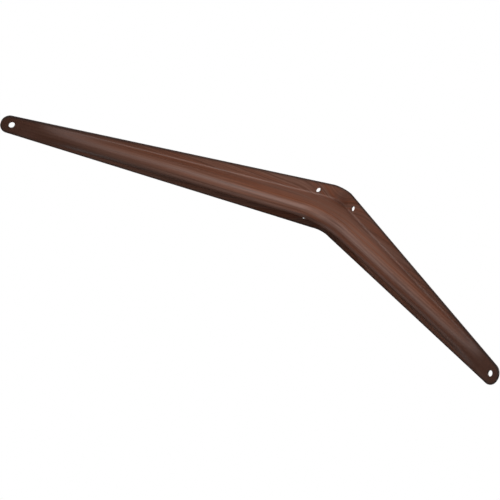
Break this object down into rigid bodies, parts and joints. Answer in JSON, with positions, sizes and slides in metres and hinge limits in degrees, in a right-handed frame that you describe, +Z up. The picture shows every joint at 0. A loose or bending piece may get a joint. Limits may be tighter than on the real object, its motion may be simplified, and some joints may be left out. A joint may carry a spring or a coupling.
{
  "type": "shelf bracket",
  "caption": "Pressed sheet-steel shelf bracket with a hollow stiffening rib, tapered arms and a printed walnut finish",
  "frame": {"origin": "on the wall, midway between the two upper screw holes of the wall arm", "axes": "+X out from the wall along the shelf arm, +Z up, Y across the bracket, whose mirror plane is y = 0"},
  "size_m": [0.2, 0.035, 0.25],
  "materials": {
    "wood_print": "satin printed walnut coat on steel"
  },
  "bodies": {
    "root": {"bracket": "wood_print"}
  },
  "joints": []
}
